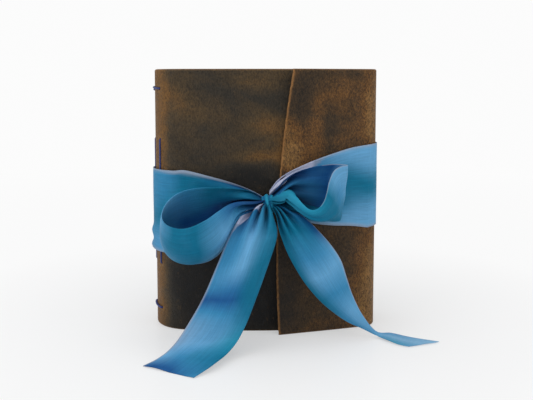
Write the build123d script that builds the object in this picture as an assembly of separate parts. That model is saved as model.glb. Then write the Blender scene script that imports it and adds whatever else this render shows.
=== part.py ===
from build123d import *
import os
from math import atan, cos, degrees, radians, sin

# Leather journal, upright on its tail edge, wrapped by its flap and tied with a ribbon.
# Millimetres. X runs from the spine to the fore edge, Y from the front to the back, Z up.
# The origin is the middle of the tail edge of the cover.

# Cover, one sheet of leather
COVER_HEIGHT = 152.4
COVER_WIDTH = 131.0
LEATHER = 2.4
SPINE_RADIUS = 21.0
SHOULDER_ANGLE = 7.0
CROWN = 2.0
CROWN_X = -8.0
FRONT_TAPER = 10.5
TAPER_POWER = 2.2
BACK_TAPER = 2.7
BACK_CORNER_RADIUS = 11.0
BACK_CORNER_ANGLE = 5.0
FORE_EDGE_SPACE = 8.0

# Flap, the end of the same sheet
FLAP_START_INSET = 6.2
FLAP_GAP = 0.4
FLAP_EDGE_TAIL = 8.3
FLAP_EDGE_HEAD = 16.4
FLAP_EDGE_BOW = 4.8
FLARE_TAIL = 5.3
FLARE_HEAD = 4.4
FLARE_POWER = 2.3

# Pages, three folded sections
SECTIONS = 3
PAGE_CLEARANCE = 0.3
PAGE_SQUARE = 3.2
PAGE_INSET = 2.0
PAGE_CREEP = 1.4
NOTCH_DEPTH = 5.0
NOTCH_ANGLE = 9.0

# Sewing
THREAD = 1.2
THREAD_SIDES = 8
THREAD_BEND = 0.8
THREAD_CLEARANCE = 0.1
THREAD_SINK = 0.45
FOLD_DEPTH = 3.0
HOLE = 2.0
SEWING_ANGLE = 37.0
END_STATION = 11.2
INNER_STATION_HEAD = 40.8
INNER_STATION_TAIL = 38.1
THREAD_TAIL = 6.0
PASS_OFFSET = 0.75

# Ribbon
RIBBON_WIDTH = 48.6
RIBBON = 0.5
RIBBON_CLEARANCE = 0.35
BAND_SPINE_Z = 69.8
BAND_FORE_EDGE_Z = 85.0
KNOT_X = 1.5
KNOT_Z = 77.0
KNOT_WIDTH = 7.0
KNOT_HEIGHT = 10.0
KNOT_DEPTH = 9.0
KNOT_LIFT = 7.0
PLEATS = 3
ROWS_PER_CUT = 1.5
PLEAT_DEPTH = 2.0
GATHER_WIDTH = 24.0

# Places that follow from the sizes above
HALF_WIDTH = COVER_WIDTH / 2
SPINE_X = SPINE_RADIUS - HALF_WIDTH
CROWN_Y = SPINE_RADIUS + CROWN
FRONT_EDGE_X = HALF_WIDTH - FORE_EDGE_SPACE
FLAP_START_X = HALF_WIDTH - FLAP_START_INSET
PAGES_X = FRONT_EDGE_X - PAGE_INSET
FOLD_RADIUS = SPINE_RADIUS - LEATHER - PAGE_CLEARANCE
GUTTER_RADIUS = FOLD_RADIUS - FOLD_DEPTH
STITCH_RADIUS = SPINE_RADIUS + THREAD / 2 - THREAD_SINK
DASH_RADIUS = SPINE_RADIUS + THREAD / 2 + THREAD_CLEARANCE
SECTION_ANGLES = [SEWING_ANGLE, 0.0, -SEWING_ANGLE]
STATIONS = [
    COVER_HEIGHT - END_STATION,
    COVER_HEIGHT - INNER_STATION_HEAD,
    INNER_STATION_TAIL,
    END_STATION,
]
BAND_LOW = BAND_FORE_EDGE_Z - RIBBON_WIDTH / 2
BAND_HIGH = BAND_FORE_EDGE_Z + RIBBON_WIDTH / 2
KNOT = Vector(KNOT_X, -CROWN_Y - KNOT_LIFT, KNOT_Z)


def polar(radius, angle, z=0.0):
    """A point round the spine; angle 0 is the outermost line of the spine, positive angles lie in front."""
    turn = radians(angle)
    return Vector(SPINE_X - radius * cos(turn), -radius * sin(turn), z)


def taper_share(x):
    return max(x - CROWN_X, 0.0) / (FRONT_EDGE_X - CROWN_X)


def front_y(x):
    """Outer surface of the front cover, from its crown to its fore edge."""
    return FRONT_TAPER * taper_share(x) ** TAPER_POWER - CROWN_Y


def front_slope(x):
    rise = FRONT_TAPER * TAPER_POWER / (FRONT_EDGE_X - CROWN_X)
    return atan(rise * taper_share(x) ** (TAPER_POWER - 1))


FLAP_START_SLOPE = front_slope(FLAP_START_X)
FRONT_CORNER_RADIUS = FLAP_START_INSET / (1 - sin(FLAP_START_SLOPE))


def pressed_flap_y(x):
    """Outer surface of the flap where the ribbon presses it on the front cover."""
    return front_y(x) - (LEATHER + FLAP_GAP) / cos(front_slope(x))


def flap_edge_x(z):
    """The slanted, slightly bowed free edge of the flap."""
    share = z / COVER_HEIGHT
    straight = FLAP_EDGE_TAIL + (FLAP_EDGE_HEAD - FLAP_EDGE_TAIL) * share
    return straight - 4 * FLAP_EDGE_BOW * share * (1 - share)


def flare(z):
    """How far the free edge stands off, above and below the ribbon that holds it down."""
    if z < BAND_LOW:
        return FLARE_TAIL * (1 - z / BAND_LOW) ** 2
    if z > BAND_HIGH:
        return FLARE_HEAD * ((z - BAND_HIGH) / (COVER_HEIGHT - BAND_HIGH)) ** 2
    return 0.0


def flap_y(x, z):
    share = (FLAP_START_X - x) / (FLAP_START_X - flap_edge_x(z))
    return pressed_flap_y(x) - flare(z) * max(share, 0.0) ** FLARE_POWER


# Cover: the plan of the wrap, from the front fore edge round the spine to the start of the flap
def wrap_path():
    front_x = [FRONT_EDGE_X + (CROWN_X - FRONT_EDGE_X) * step / 6 for step in range(7)]
    edge_lean = front_slope(FRONT_EDGE_X)
    front = Spline(
        *[(x, front_y(x)) for x in front_x],
        tangents=[(-cos(edge_lean), -sin(edge_lean)), (-1, 0)],
    )
    front_shoulder = polar(SPINE_RADIUS, 90 - SHOULDER_ANGLE)
    back_shoulder = polar(SPINE_RADIUS, SHOULDER_ANGLE - 90)
    lean = radians(SHOULDER_ANGLE)
    shoulder = Spline(
        (CROWN_X, -CROWN_Y),
        front_shoulder,
        tangents=[(-1, 0), (-cos(lean), sin(lean))],
    )
    round_spine = ThreePointArc(front_shoulder, polar(SPINE_RADIUS, 0), back_shoulder)
    corner_lean = radians(BACK_CORNER_ANGLE)
    corner_x = HALF_WIDTH - BACK_CORNER_RADIUS
    corner_y = CROWN_Y - BACK_TAPER - BACK_CORNER_RADIUS * cos(corner_lean)
    corner_start = (corner_x + BACK_CORNER_RADIUS * sin(corner_lean), CROWN_Y - BACK_TAPER)
    back = Spline(
        back_shoulder,
        (CROWN_X, CROWN_Y),
        corner_start,
        tangents=[(cos(lean), sin(lean)), (cos(corner_lean), -sin(corner_lean))],
    )
    back_corner = CenterArc(
        (corner_x, corner_y), BACK_CORNER_RADIUS, 90 - BACK_CORNER_ANGLE, BACK_CORNER_ANGLE - 90
    )
    turn = 90 - degrees(FLAP_START_SLOPE)
    front_corner_y = pressed_flap_y(FLAP_START_X) + FRONT_CORNER_RADIUS * cos(FLAP_START_SLOPE)
    fore_edge = Line((HALF_WIDTH, corner_y), (HALF_WIDTH, front_corner_y))
    front_corner = CenterArc(
        (HALF_WIDTH - FRONT_CORNER_RADIUS, front_corner_y), FRONT_CORNER_RADIUS, 0, -turn
    )
    return [front, shoulder, round_spine, back, back_corner, fore_edge, front_corner]


def parallel(curve, distance):
    """A curve that runs beside another, on its right hand at the given distance."""
    steps = 10
    points = []
    for step in range(steps + 1):
        along = curve % (step / steps)
        points.append(curve @ (step / steps) + Vector(along.Y, -along.X, 0) * distance)
    return Spline(*points, tangents=[curve % 0, curve % 1])


def strip(curves, distance):
    """The face between a path and its parallel, closed by a square cut at each end."""
    beside = [parallel(curve, distance) for curve in curves]
    start = Line(curves[0] @ 0, beside[0] @ 0)
    end = Line(curves[-1] @ 1, beside[-1] @ 1)
    return make_face(curves + [end] + beside + [start])


def flap_section(z):
    """The flap cut level at height z, from the fore edge corner to the free edge."""
    steps = 7
    outer = []
    inner = []
    for step in range(steps + 1):
        x = FLAP_START_X + (flap_edge_x(z) - FLAP_START_X) * step / steps
        slope = atan((flap_y(x + 0.01, z) - flap_y(x - 0.01, z)) / 0.02)
        if step == 0:
            slope = FLAP_START_SLOPE
        point = Vector(x, flap_y(x, z), z)
        outer.append(point)
        inner.append(point + Vector(-sin(slope), cos(slope), 0) * LEATHER)
    outer_line = Spline(*outer)
    inner_line = Spline(*inner[::-1])
    free_end = Line(outer[-1], inner[-1])
    start = Line(inner[0], outer[0])
    return make_face([outer_line, free_end, inner_line, start])


def sewing_holes(radius, inner, outer):
    """Round holes through the folds and the spine; the middle section has two threads in its end holes."""
    places = []
    for angle in SECTION_ANGLES:
        for number, z in enumerate(STATIONS):
            if angle == 0 and number in (0, len(STATIONS) - 1):
                places.append((angle, z + PASS_OFFSET))
                places.append((angle, z - PASS_OFFSET))
            else:
                places.append((angle, z))
    holes = []
    for angle, z in places:
        start = polar(inner, angle, z)
        way = polar(outer, angle, z) - start
        holes.append(Solid.make_cylinder(radius, way.length, Plane(start, z_dir=way)))
    return holes


def leather_cover():
    wrap = extrude(strip(wrap_path(), LEATHER), COVER_HEIGHT, dir=(0, 0, 1))
    levels = [0, BAND_LOW / 3, 2 * BAND_LOW / 3, BAND_LOW, (BAND_LOW + BAND_HIGH) / 2, BAND_HIGH]
    levels += [(BAND_HIGH + COVER_HEIGHT) / 2, COVER_HEIGHT]
    flap = loft([flap_section(z) for z in levels])
    cover = wrap + flap
    cover -= sewing_holes(HOLE / 2, FOLD_RADIUS, SPINE_RADIUS + LEATHER)
    grooves = []
    for angle in SECTION_ANGLES:
        foot = Plane(polar(STITCH_RADIUS, angle, STATIONS[2]), z_dir=(0, 0, 1))
        length = STATIONS[1] - STATIONS[2]
        grooves.append(Solid.make_cylinder(THREAD / 2 + THREAD_CLEARANCE, length, foot))
    cover -= grooves
    return cover


# Pages: what fits inside the wrap, with a rounded fold for each section and a creep at the fore edge
def page_plan():
    gap = LEATHER + PAGE_CLEARANCE
    beside = [parallel(curve, gap) for curve in wrap_path()]
    room = make_face(beside + [Line(beside[-1] @ 1, beside[0] @ 0)])
    low = front_y(PAGES_X) + gap / cos(front_slope(PAGES_X))
    high = CROWN_Y - BACK_TAPER - gap
    levels = [low + (high - low) * number / SECTIONS for number in range(SECTIONS + 1)]
    valley_x = PAGES_X - PAGE_CREEP
    reach = 2 * CROWN_Y
    edges = [Line((valley_x, -reach), (valley_x, low))]
    for near, far in zip(levels, levels[1:]):
        edges.append(ThreePointArc((valley_x, near), (PAGES_X, (near + far) / 2), (valley_x, far)))
    edges.append(Line((valley_x, high), (valley_x, reach)))
    edges.append(Line((valley_x, reach), (-COVER_WIDTH, reach)))
    edges.append(Line((-COVER_WIDTH, reach), (-COVER_WIDTH, -reach)))
    edges.append(Line((-COVER_WIDTH, -reach), (valley_x, -reach)))
    plan = room & make_face(edges)
    for first, second in zip(SECTION_ANGLES, SECTION_ANGLES[1:]):
        middle = (first + second) / 2
        plan -= fold_notch(middle)
    return plan


def fold_notch(middle):
    """The valley between two neighbouring folds, bounded by their round backs."""
    mouth = FOLD_RADIUS + PAGE_CLEARANCE
    shallow = FOLD_RADIUS - NOTCH_DEPTH / 4
    cusp = polar(FOLD_RADIUS - NOTCH_DEPTH, middle)
    left = polar(mouth, middle + NOTCH_ANGLE)
    right = polar(mouth, middle - NOTCH_ANGLE)
    left_side = ThreePointArc(left, polar(shallow, middle + NOTCH_ANGLE / 2), cusp)
    right_side = ThreePointArc(cusp, polar(shallow, middle - NOTCH_ANGLE / 2), right)
    return make_face([left_side, right_side, Line(right, left)])


def page_block():
    height = COVER_HEIGHT - 2 * PAGE_SQUARE
    block = Pos(0, 0, PAGE_SQUARE) * extrude(page_plan(), height, dir=(0, 0, 1))
    gutters = []
    for angle in SECTION_ANGLES:
        foot = Plane(polar(GUTTER_RADIUS, angle), z_dir=(0, 0, 1))
        gutters.append(Solid.make_cylinder(THREAD / 2 + PAGE_CLEARANCE, COVER_HEIGHT, foot))
    block -= gutters
    block -= sewing_holes(THREAD / 2 + PAGE_CLEARANCE, GUTTER_RADIUS, SPINE_RADIUS)
    return block


# Sewing: one thread, in and out along each fold, and across from fold to fold at the head and tail
def dash(from_angle, from_z, to_angle, to_z):
    """A short stitch laid round the spine, with the radius of each of its corners."""
    parts = 4
    route = []
    for step in range(parts + 1):
        share = step / parts
        angle = from_angle + (to_angle - from_angle) * share
        route.append((polar(DASH_RADIUS, angle, from_z + (to_z - from_z) * share), SPINE_RADIUS / 2))
    route[0] = (route[0][0], THREAD_BEND)
    route[-1] = (route[-1][0], THREAD_BEND)
    return route


def stitch(angle, stations):
    """Along one fold: inside to the second hole, outside to the third, inside to the last."""
    radii = [GUTTER_RADIUS, GUTTER_RADIUS, STITCH_RADIUS, STITCH_RADIUS, GUTTER_RADIUS, GUTTER_RADIUS]
    first, second, third, last = stations
    heights = [first, second, second, third, third, last]
    return [(polar(r, angle, z), THREAD_BEND) for r, z in zip(radii, heights)]


def sewing_thread():
    front, middle, back = SECTION_ANGLES
    head, upper, lower, tail = STATIONS
    high_head = head + PASS_OFFSET
    low_head = head - PASS_OFFSET
    high_tail = tail + PASS_OFFSET
    low_tail = tail - PASS_OFFSET
    route = [(polar(GUTTER_RADIUS, middle, high_head), THREAD_BEND)]
    route += dash(middle, high_head, front, head)
    route += stitch(front, [head, upper, lower, tail])
    route += dash(front, tail, middle, high_tail)
    route += stitch(middle, [high_tail, lower, upper, low_head])
    route += dash(middle, low_head, back, head)
    route += stitch(back, [head, upper, lower, tail])
    route += dash(back, tail, middle, low_tail)
    route += [(polar(GUTTER_RADIUS, middle, low_tail), THREAD_BEND)]
    start = polar(GUTTER_RADIUS, middle, high_head + THREAD_TAIL)
    end = polar(GUTTER_RADIUS, middle, low_tail - THREAD_TAIL)
    points = [start] + [point for point, _ in route] + [end]
    path = FilletPolyline(*points, radius=[radius for _, radius in route])
    section = Plane(start, z_dir=(0, 0, -1)) * RegularPolygon(THREAD / 2, THREAD_SIDES)
    return sweep(section, path=path)


# Ribbon: each strand is a curved sheet between its two selvedges, with pleats where it is gathered
def smooth(values, share):
    """A smooth curve through evenly spaced values, read at a share of its whole length."""
    last = len(values) - 1
    place = min(max(share, 0.0), 1.0) * last
    number = min(int(place), last - 1)
    t = place - number
    one, two = values[number], values[number + 1]
    before = values[number - 1] if number > 0 else one * 2 - two
    after = values[number + 2] if number + 2 <= last else two * 2 - one
    slope_one = (two - before) * 0.5
    slope_two = (after - one) * 0.5
    result = one * (2 * t**3 - 3 * t**2 + 1) + slope_one * (t**3 - 2 * t**2 + t)
    return result + two * (3 * t**2 - 2 * t**3) + slope_two * (t**3 - t**2)


def above_floor(point):
    """The ribbon lies on what the journal stands on, never lower."""
    return Vector(point.X, point.Y, max(point.Z, RIBBON))


def cut_across(upper, lower, ahead, bow):
    """A cut across the ribbon from selvedge to selvedge, bowed out in its middle."""
    across = lower - upper
    width = across.length
    along = ahead - across * (ahead.dot(across) / width**2)
    plane = Plane((upper + lower) / 2, x_dir=across, z_dir=along)
    gathered = max(1 - width / GATHER_WIDTH, 0.0)
    pleat = PLEAT_DEPTH * gathered
    steps = 2 * PLEATS
    near = []
    far = []
    for step in range(steps + 1):
        share = step / steps
        height = bow * (1 - (2 * share - 1) ** 2) + pleat * (step % 2)
        near.append((width * (share - 0.5), height + RIBBON / 2))
        far.append((width * (share - 0.5), height - RIBBON / 2))
    return plane * make_face(Polyline(*near, *far[::-1], close=True))


def strand(cuts):
    """A length of ribbon through (upper selvedge, lower selvedge, bow of its middle) places."""
    uppers = [upper for upper, _, _ in cuts]
    lowers = [lower for _, lower, _ in cuts]
    bows = [bow for _, _, bow in cuts]
    middles = [(upper + lower) / 2 for upper, lower in zip(uppers, lowers)]
    rows = round(ROWS_PER_CUT * (len(cuts) - 1))
    faces = []
    for row in range(rows + 1):
        share = row / rows
        ahead = smooth(middles, share + 0.01) - smooth(middles, share - 0.01)
        upper = above_floor(smooth(uppers, share))
        lower = above_floor(smooth(lowers, share))
        faces.append(cut_across(upper, lower, ahead, smooth(bows, share)))
    return loft(faces, ruled=True)


# The band in front of the cover: share of the way out from the knot, distance from the leather as a
# share of the knot's lift, and both selvedges above the knot's middle in ribbon widths
BAND_LEFT = [
    (0.04, 0.5, 0.051, -0.051),
    (0.24, 0.46, 0.142, -0.154),
    (0.49, 0.29, 0.230, -0.288),
    (0.77, 0.11, 0.304, -0.440),
    (1.03, -0.1, 0.360, -0.594),
]
BAND_RIGHT = [
    (0.84, 0.09, 0.613, -0.319),
    (0.63, 0.17, 0.51, -0.298),
    (0.42, 0.23, 0.412, -0.257),
    (0.22, 0.27, 0.278, -0.165),
    (0.035, 0.13, 0.082, -0.062),
]


def band():
    """The strand from the knot round the spine, the back and the fore edge to the knot again."""
    lift = RIBBON_CLEARANCE + RIBBON / 2
    thread_lift = lift + THREAD - THREAD_SINK
    half = RIBBON_WIDTH / 2
    cuts = []

    def add(x, y, high, low):
        cuts.append((Vector(x, y, high), Vector(x, y, low), 0.0))

    for share, off, high, low in BAND_LEFT:
        x = KNOT_X + (SPINE_X - KNOT_X) * share
        y = -CROWN_Y - KNOT_LIFT * off
        add(x, y, KNOT_Z + RIBBON_WIDTH * high, KNOT_Z + RIBBON_WIDTH * low)
    for angle in (65, 42, 20, 0, -20, -42, -65):
        point = polar(SPINE_RADIUS + thread_lift, angle)
        add(point.X, point.Y, BAND_SPINE_Z + half, BAND_SPINE_Z - half)
    back, back_corner, fore_edge, front_corner = wrap_path()[3:]
    rest = [(back, 0.12), (back, 0.35), (back, 0.6), (back, 0.85)]
    rest += [(back_corner, 0.1), (back_corner, 0.5), (back_corner, 0.9)]
    rest += [(fore_edge, 0.5), (front_corner, 0.1), (front_corner, 0.5), (front_corner, 0.9)]
    for curve, share in rest:
        along = curve % share
        point = curve @ share + Vector(-along.Y, along.X, 0) * lift
        slant = min((point.X + HALF_WIDTH) / COVER_WIDTH, 1)
        middle = BAND_SPINE_Z + (BAND_FORE_EDGE_Z - BAND_SPINE_Z) * slant
        add(point.X, point.Y, middle + half, middle - half)
    for share, off, high, low in BAND_RIGHT:
        x = KNOT_X + (FLAP_START_X - KNOT_X) * share
        y = pressed_flap_y(x) - KNOT_LIFT * off
        add(x, y, KNOT_Z + RIBBON_WIDTH * high, KNOT_Z + RIBBON_WIDTH * low)
    return strand(cuts)


# The loops: upper selvedge and lower selvedge from the knot's middle, and how far the cloth bows out,
# all in ribbon widths, because a wider ribbon makes a larger bow
LEFT_LOOP = [
    ((-0.041, 0.000, 0.051), (-0.041, 0.000, -0.031), 0.000),
    ((-0.223, -0.082, 0.134), (-0.222, -0.021, -0.029), 0.010),
    ((-0.424, -0.165, 0.186), (-0.469, 0.010, -0.236), 0.041),
    ((-0.617, -0.247, 0.210), (-0.646, 0.021, -0.429), 0.072),
    ((-0.808, -0.329, 0.211), (-0.847, 0.021, -0.536), 0.082),
    ((-0.981, -0.391, 0.179), (-1.023, 0.021, -0.584), 0.082),
    ((-1.104, -0.432, 0.097), (-1.162, 0.000, -0.567), 0.051),
    ((-1.166, -0.473, -0.013), (-1.208, -0.041, -0.521), 0.031),
    ((-1.159, -0.535, -0.096), (-1.186, -0.082, -0.571), 0.041),
    ((-1.090, -0.576, -0.154), (-1.106, -0.123, -0.643), 0.082),
    ((-0.952, -0.617, -0.182), (-0.992, -0.165, -0.679), 0.123),
    ((-0.818, -0.617, -0.164), (-0.829, -0.185, -0.686), 0.134),
    ((-0.681, -0.556, -0.103), (-0.643, -0.206, -0.622), 0.123),
    ((-0.544, -0.453, -0.017), (-0.493, -0.206, -0.470), 0.082),
    ((-0.366, -0.309, 0.063), (-0.321, -0.206, -0.134), 0.021),
    ((-0.041, -0.082, 0.041), (-0.041, -0.082, -0.031), 0.000),
]

RIGHT_LOOP = [
    ((0.010, -0.082, 0.051), (0.010, -0.082, -0.021), 0.000),
    ((0.221, -0.165, 0.142), (0.200, -0.103, 0.068), 0.000),
    ((0.309, -0.247, 0.098), (0.274, -0.123, 0.013), 0.010),
    ((0.391, -0.329, 0.027), (0.366, -0.144, -0.056), 0.031),
    ((0.471, -0.391, -0.018), (0.508, -0.165, -0.130), 0.051),
    ((0.553, -0.412, -0.003), (0.646, -0.165, -0.177), 0.062),
    ((0.619, -0.412, 0.076), (0.734, -0.144, -0.193), 0.062),
    ((0.654, -0.391, 0.179), (0.793, -0.123, -0.197), 0.062),
    ((0.681, -0.350, 0.291), (0.830, -0.103, -0.195), 0.051),
    ((0.734, -0.309, 0.403), (0.849, -0.082, -0.170), 0.041),
    ((0.818, -0.247, 0.452), (0.857, -0.062, -0.139), 0.031),
    ((0.903, -0.165, 0.458), (0.846, -0.021, -0.117), 0.021),
    ((0.826, -0.082, 0.459), (0.753, 0.010, -0.094), 0.021),
    ((0.699, -0.062, 0.454), (0.606, 0.010, -0.064), 0.031),
    ((0.483, -0.062, 0.416), (0.416, 0.010, -0.011), 0.031),
    ((0.267, -0.062, 0.329), (0.241, 0.000, 0.056), 0.021),
    ((0.010, 0.000, 0.062), (0.010, 0.000, -0.021), 0.000),
]

# The tails: the same, but with the height above the floor as a share of the knot's height
LEFT_TAIL = [
    ((-0.065, -0.062, 1.001), (0.016, -0.062, 0.997), 0.000),
    ((-0.197, -0.144, 0.952), (0.050, -0.144, 0.948), 0.041),
    ((-0.320, -0.226, 0.904), (0.089, -0.226, 0.882), 0.072),
    ((-0.442, -0.309, 0.780), (0.103, -0.288, 0.788), 0.103),
    ((-0.562, -0.412, 0.605), (0.032, -0.370, 0.646), 0.123),
    ((-0.702, -0.535, 0.406), (-0.114, -0.494, 0.404), 0.123),
    ((-0.838, -0.658, 0.259), (-0.255, -0.638, 0.198), 0.103),
    ((-1.018, -0.782, 0.101), (-0.389, -0.782, 0.078), 0.072),
    ((-1.166, -0.915, 0.042), (-0.569, -1.102, 0.042), 0.031),
    ((-1.319, -0.987, 0.006), (-0.756, -1.300, 0.006), 0.000),
]

RIGHT_TAIL = [
    ((-0.007, -0.062, 0.994), (0.063, -0.062, 0.990), 0.000),
    ((0.085, -0.123, 0.927), (0.241, -0.103, 0.951), 0.031),
    ((0.131, -0.165, 0.808), (0.402, -0.123, 0.913), 0.062),
    ((0.205, -0.185, 0.678), (0.584, -0.165, 0.808), 0.082),
    ((0.292, -0.185, 0.567), (0.737, -0.185, 0.697), 0.093),
    ((0.437, -0.185, 0.420), (0.840, -0.185, 0.593), 0.093),
    ((0.643, -0.165, 0.269), (0.908, -0.185, 0.464), 0.082),
    ((0.901, -0.144, 0.141), (0.980, -0.185, 0.333), 0.051),
    ((1.106, -0.134, 0.079), (1.098, -0.185, 0.188), 0.021),
    ((1.266, -0.129, 0.026), (1.267, -0.114, 0.055), 0.000),
    ((1.382, -0.240, 0.016), (1.457, 0.001, 0.016), 0.000),
    ((1.479, -0.345, 0.010), (1.619, -0.081, 0.010), 0.000),
    ((1.579, -0.407, 0.010), (1.766, -0.166, 0.010), 0.000),
    ((1.604, -0.404, 0.010), (1.963, -0.269, 0.010), 0.000),
]


def loop_cuts(table):
    cuts = []
    for upper, lower, bow in table:
        ends = [KNOT + Vector(*place) * RIBBON_WIDTH for place in (upper, lower)]
        cuts.append((*ends, -bow * RIBBON_WIDTH))
    return cuts


def tail_cuts(table):
    cuts = []
    for upper, lower, bow in table:
        ends = []
        for x, y, share in (upper, lower):
            ends.append(Vector(KNOT.X + x * RIBBON_WIDTH, KNOT.Y + y * RIBBON_WIDTH, KNOT.Z * share))
        cuts.append((*ends, bow * RIBBON_WIDTH))
    return cuts


def knot():
    """The short wrap that ties the bow, a tight barrel standing across the strands."""
    shares = [(-0.5, 0.55), (-0.3, 0.9), (0.0, 1.0), (0.3, 0.9), (0.5, 0.55)]
    levels = []
    for height, size in shares:
        place = Pos(KNOT) * Pos(0, 0, KNOT_HEIGHT * height)
        levels.append(place * Ellipse(KNOT_WIDTH / 2 * size, KNOT_DEPTH / 2 * size))
    return loft(levels)


def ribbon():
    whole = knot() + band()
    for table in (LEFT_LOOP, RIGHT_LOOP):
        whole += strand(loop_cuts(table))
    for table in (LEFT_TAIL, RIGHT_TAIL):
        whole += strand(tail_cuts(table))
    return whole


os.makedirs("parts", exist_ok=True)
PARTS = {
    "leather_cover": leather_cover,
    "page_block": page_block,
    "sewing_thread": sewing_thread,
    "ribbon": ribbon,
}
for name, make in PARTS.items():
    part = make()
    solids = part.solids()
    print(name, len(solids), "solids", part.is_valid, round(part.volume, 1), part.bounding_box())
    export_step(part, f"parts/{name}.step")
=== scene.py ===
from math import atan, cos, pi, radians, sin

import bpy
import numpy as np
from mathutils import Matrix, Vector, noise


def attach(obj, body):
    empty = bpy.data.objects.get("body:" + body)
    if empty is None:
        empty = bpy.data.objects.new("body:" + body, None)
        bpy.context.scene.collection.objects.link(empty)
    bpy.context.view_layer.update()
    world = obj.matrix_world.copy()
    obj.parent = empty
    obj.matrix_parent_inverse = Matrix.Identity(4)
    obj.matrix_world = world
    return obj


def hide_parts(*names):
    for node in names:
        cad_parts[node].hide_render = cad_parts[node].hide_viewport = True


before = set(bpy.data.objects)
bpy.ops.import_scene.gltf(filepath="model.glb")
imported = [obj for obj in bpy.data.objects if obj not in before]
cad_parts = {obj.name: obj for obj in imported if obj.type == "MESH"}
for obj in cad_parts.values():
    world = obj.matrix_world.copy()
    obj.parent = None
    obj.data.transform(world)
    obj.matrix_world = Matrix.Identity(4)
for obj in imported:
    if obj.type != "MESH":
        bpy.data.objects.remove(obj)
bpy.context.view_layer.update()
MM = 0.001

# The journal's own sizes, in millimetres, the same as in the CAD source
COVER_HEIGHT = 152.4
HALF_WIDTH = 65.5
LEATHER = 2.4
SPINE_RADIUS = 21.0
SPINE_X = SPINE_RADIUS - HALF_WIDTH
CROWN_X = -8.0
CROWN_Y = 23.0
CROWN_TURN = radians(0.5)
SHOULDER = radians(83)
FRONT_EDGE_X = 57.5
FRONT_TAPER = 10.5
TAPER_POWER = 2.2
BACK_Y = 20.3
BACK_CORNER_RADIUS = 11.0
BACK_CORNER_ANGLE = radians(5)
FLAP_START_X = 59.3
FLAP_GAP = 0.4
FLAP_EDGE_TAIL = 8.3
FLAP_EDGE_HEAD = 16.4
FLAP_EDGE_BOW = 4.8
FLARE_TAIL = 5.3
FLARE_HEAD = 4.4
FLARE_POWER = 2.3
BAND_SPINE_Z = 69.8
BAND_FORE_EDGE_Z = 85.0
RIBBON_WIDTH = 48.6
BAND_LOW = BAND_FORE_EDGE_Z - RIBBON_WIDTH / 2
BAND_HIGH = BAND_FORE_EDGE_Z + RIBBON_WIDTH / 2
STATIONS = [141.2, 111.6, 38.1, 11.2]
SEWING_ANGLES = [37.0, 0.0, -37.0]
PASS_OFFSET = 0.75
HOLE_RADIUS = 1.0

# The uneven free edge of the flap, the rounded cut edges and the fine steps that draw them
EDGE_WAVER = 0.35
WAVER_RATE = 0.45
OUTER_ROUNDING = 1.1
INNER_ROUNDING = 0.6
ROUNDING_LEVELS = [0.0, 0.15, 0.4, 0.75, 1.2, 1.9]
FORE_EDGE_STEPS = [0, 0.2, 0.5, 0.9, 1.4, 2.2, 3.4]
FLAP_EDGE_SHARES = [0.95, 0.965, 0.978, 0.987, 0.993, 0.997, 1.0]

# The grooves under the thread, and round each hole what is near, cut away, drawn to its rim and scuffed
GROOVE_RADIUS = 0.7
GROOVE_CENTRE = 21.15
FINE_STEPS = [0.35, 0.75, 1.1, 1.45, 1.9, 2.35]
SEWING_REACH = 6.0
CUT_REACH = 0.86
SNAP_REACH = 1.38
SCUFF_REACH = 1.9

# Where the flap's warmer colour starts and how soon it is full, and how rubbed the cut edges are
FLAP_COLOUR_POINTS = 20
FLAP_COLOUR_REACH = 12.0
FLAP_EDGE_RUB = 0.85
RIM_RUB = 0.35
RUB_REACH = 0.9


def share_of(x):
    return max(x - CROWN_X, 0.0) / (FRONT_EDGE_X - CROWN_X)


def front_y(x):
    return FRONT_TAPER * share_of(x) ** TAPER_POWER - CROWN_Y


def front_slope(x):
    return atan(FRONT_TAPER * TAPER_POWER / (FRONT_EDGE_X - CROWN_X) * share_of(x) ** (TAPER_POWER - 1))


def pressed_flap_y(x):
    return front_y(x) - (LEATHER + FLAP_GAP) / cos(front_slope(x))


def flap_edge_x(z):
    share = z / COVER_HEIGHT
    straight = FLAP_EDGE_TAIL + (FLAP_EDGE_HEAD - FLAP_EDGE_TAIL) * share
    return straight - 4 * FLAP_EDGE_BOW * share * (1 - share)


def flare(z):
    """How far the flap's free edge stands off, nothing where the ribbon presses it down."""
    if z < BAND_LOW:
        return FLARE_TAIL * (1 - z / BAND_LOW) ** 2
    if z > BAND_HIGH:
        return FLARE_HEAD * ((z - BAND_HIGH) / (COVER_HEIGHT - BAND_HIGH)) ** 2
    return 0.0


def flap_point(share, z):
    """A place on the flap's outer face, from its share of the way to the free edge and its height."""
    edge = flap_edge_x(z) + EDGE_WAVER * noise.noise(Vector((0.0, 7.0, z * WAVER_RATE)))
    x = FLAP_START_X + (edge - FLAP_START_X) * share
    return x, pressed_flap_y(x) - flare(z) * share**FLARE_POWER


def with_fine_steps(places, centres, unit):
    """Evenly spaced places, with finer steps beside each of the centres."""
    steps = [0.0] + FINE_STEPS + [-step for step in FINE_STEPS]
    reach = (FINE_STEPS[-1] + 0.2) * unit
    kept = [place for place in places if min(abs(place - centre) for centre in centres) > reach]
    return sorted(kept + [centre + step * unit for centre in centres for step in steps])


def cubic(start, lean, end, landing, t):
    """Places on the cubic between two places, with the slopes that it has at them."""
    curve = start * (2 * t**3 - 3 * t**2 + 1) + lean * (t**3 - 2 * t**2 + t)
    return curve + end * (3 * t**2 - 2 * t**3) + landing * (t**3 - t**2)


def hermite(start, end, lean, landing, count):
    """Points of a curve between two places that leaves and lands in the given directions."""
    start, end = np.array(start), np.array(end)
    length = np.linalg.norm(end - start)
    t = np.linspace(0, 1, count + 1)[:, None]
    lean = np.array(lean) * length
    landing = np.array(landing) * length
    return cubic(start, lean, end, landing, t)


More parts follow.
